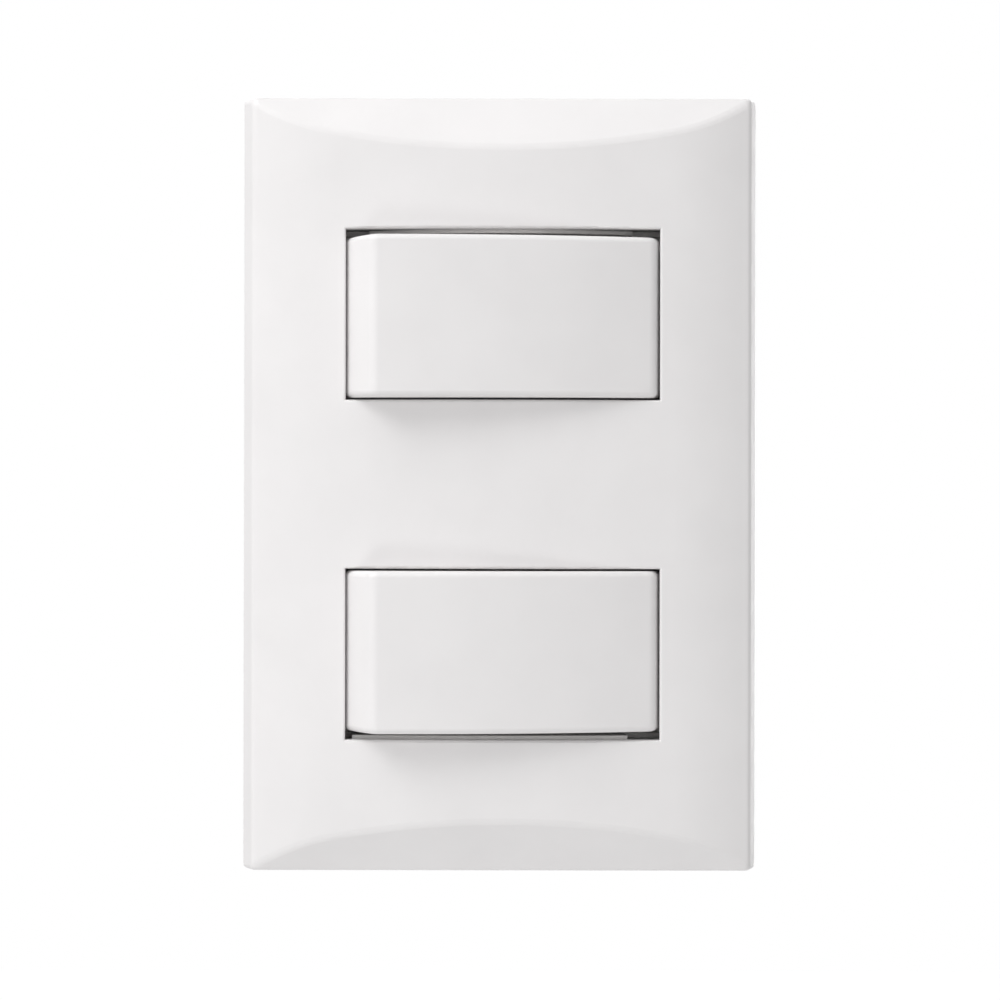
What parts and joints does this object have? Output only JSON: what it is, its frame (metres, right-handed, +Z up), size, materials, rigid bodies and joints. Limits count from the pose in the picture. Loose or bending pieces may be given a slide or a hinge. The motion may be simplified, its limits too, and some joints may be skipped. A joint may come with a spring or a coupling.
{
  "type": "double light switch",
  "caption": "Wall light switch: crowned clip-fixed plate over a mounting frame, with wide rocker inserts one above the other, each with contacts and screw terminals.",
  "frame": {"origin": "middle of the wall plate in the plane of the wall, halfway between the two box screws", "axes": "+Z up the wall, +Y into the wall, +X to the right as seen from the front"},
  "size_m": [0.078, 0.0332, 0.1172],
  "materials": {
    "white_plastic": "white moulded ABS, satin gloss",
    "frame_plastic": "light grey polycarbonate",
    "body_plastic": "pale grey polyamide",
    "cover_plastic": "dark grey polyamide",
    "plunger_plastic": "natural acetal",
    "spring_steel": "drawn spring wire",
    "brass_strip": "stamped brass strip",
    "silver_tip": "silver contact alloy",
    "zinc_steel": "zinc plated steel"
  },
  "bodies": {
    "base": {"wall_plate": "white_plastic", "mounting_frame": "frame_plastic", "box_screws": "zinc_steel", "upper_switch_body": "body_plastic", "upper_back_cover": "cover_plastic", "upper_fixed_tip": "silver_tip", "upper_common_terminal": "brass_strip", "upper_switched_terminal": "brass_strip", "upper_terminal_screws": "zinc_steel", "upper_clamp_plates": "zinc_steel", "lower_switch_body": "body_plastic", "lower_back_cover": "cover_plastic", "lower_fixed_tip": "silver_tip", "lower_common_terminal": "brass_strip", "lower_switched_terminal": "brass_strip", "lower_terminal_screws": "zinc_steel", "lower_clamp_plates": "zinc_steel"},
    "upper_rocker": {"upper_rocker": "white_plastic", "upper_plunger_spring": "spring_steel"},
    "upper_plunger": {"upper_plunger": "plunger_plastic"},
    "upper_lever": {"upper_contact_lever": "brass_strip", "upper_moving_tip": "silver_tip"},
    "lower_rocker": {"lower_rocker": "white_plastic", "lower_plunger_spring": "spring_steel"},
    "lower_plunger": {"lower_plunger": "plunger_plastic"},
    "lower_lever": {"lower_contact_lever": "brass_strip", "lower_moving_tip": "silver_tip"}
  },
  "joints": [
    {"name": "upper_rocker_tilt", "type": "hinge", "parent": "base", "child": "upper_rocker", "pos_m": [0, 0.002, 0.02505], "axis": [0, 0, -1], "range_deg": [0, 14]},
    {"name": "upper_plunger_slide", "type": "slide", "parent": "upper_rocker", "child": "upper_plunger", "axis": [0.1219, -0.9925, 0], "range_m": [0, 0.0008], "stiffness_N_per_m": 500, "springref_m": -0.003, "deforming": ["upper_plunger_spring"]},
    {"name": "upper_lever_rock", "type": "hinge", "parent": "base", "child": "upper_lever", "pos_m": [0, 0.0147, 0.02505], "axis": [0, 0, 1], "range_deg": [0, 12]},
    {"name": "lower_rocker_tilt", "type": "hinge", "parent": "base", "child": "lower_rocker", "pos_m": [0, 0.002, -0.02505], "axis": [0, 0, -1], "range_deg": [0, 14]},
    {"name": "lower_plunger_slide", "type": "slide", "parent": "lower_rocker", "child": "lower_plunger", "axis": [0.1219, -0.9925, 0], "range_m": [0, 0.0008], "stiffness_N_per_m": 500, "springref_m": -0.003, "deforming": ["lower_plunger_spring"]},
    {"name": "lower_lever_rock", "type": "hinge", "parent": "base", "child": "lower_lever", "pos_m": [0, 0.0147, -0.02505], "axis": [0, 0, 1], "range_deg": [0, 12]}
  ],
  "couplings": [
    {"joint": "upper_lever_rock", "follows": "upper_rocker_tilt", "ratio": 0.85714},
    {"joint": "lower_lever_rock", "follows": "lower_rocker_tilt", "ratio": 0.85714}
  ]
}
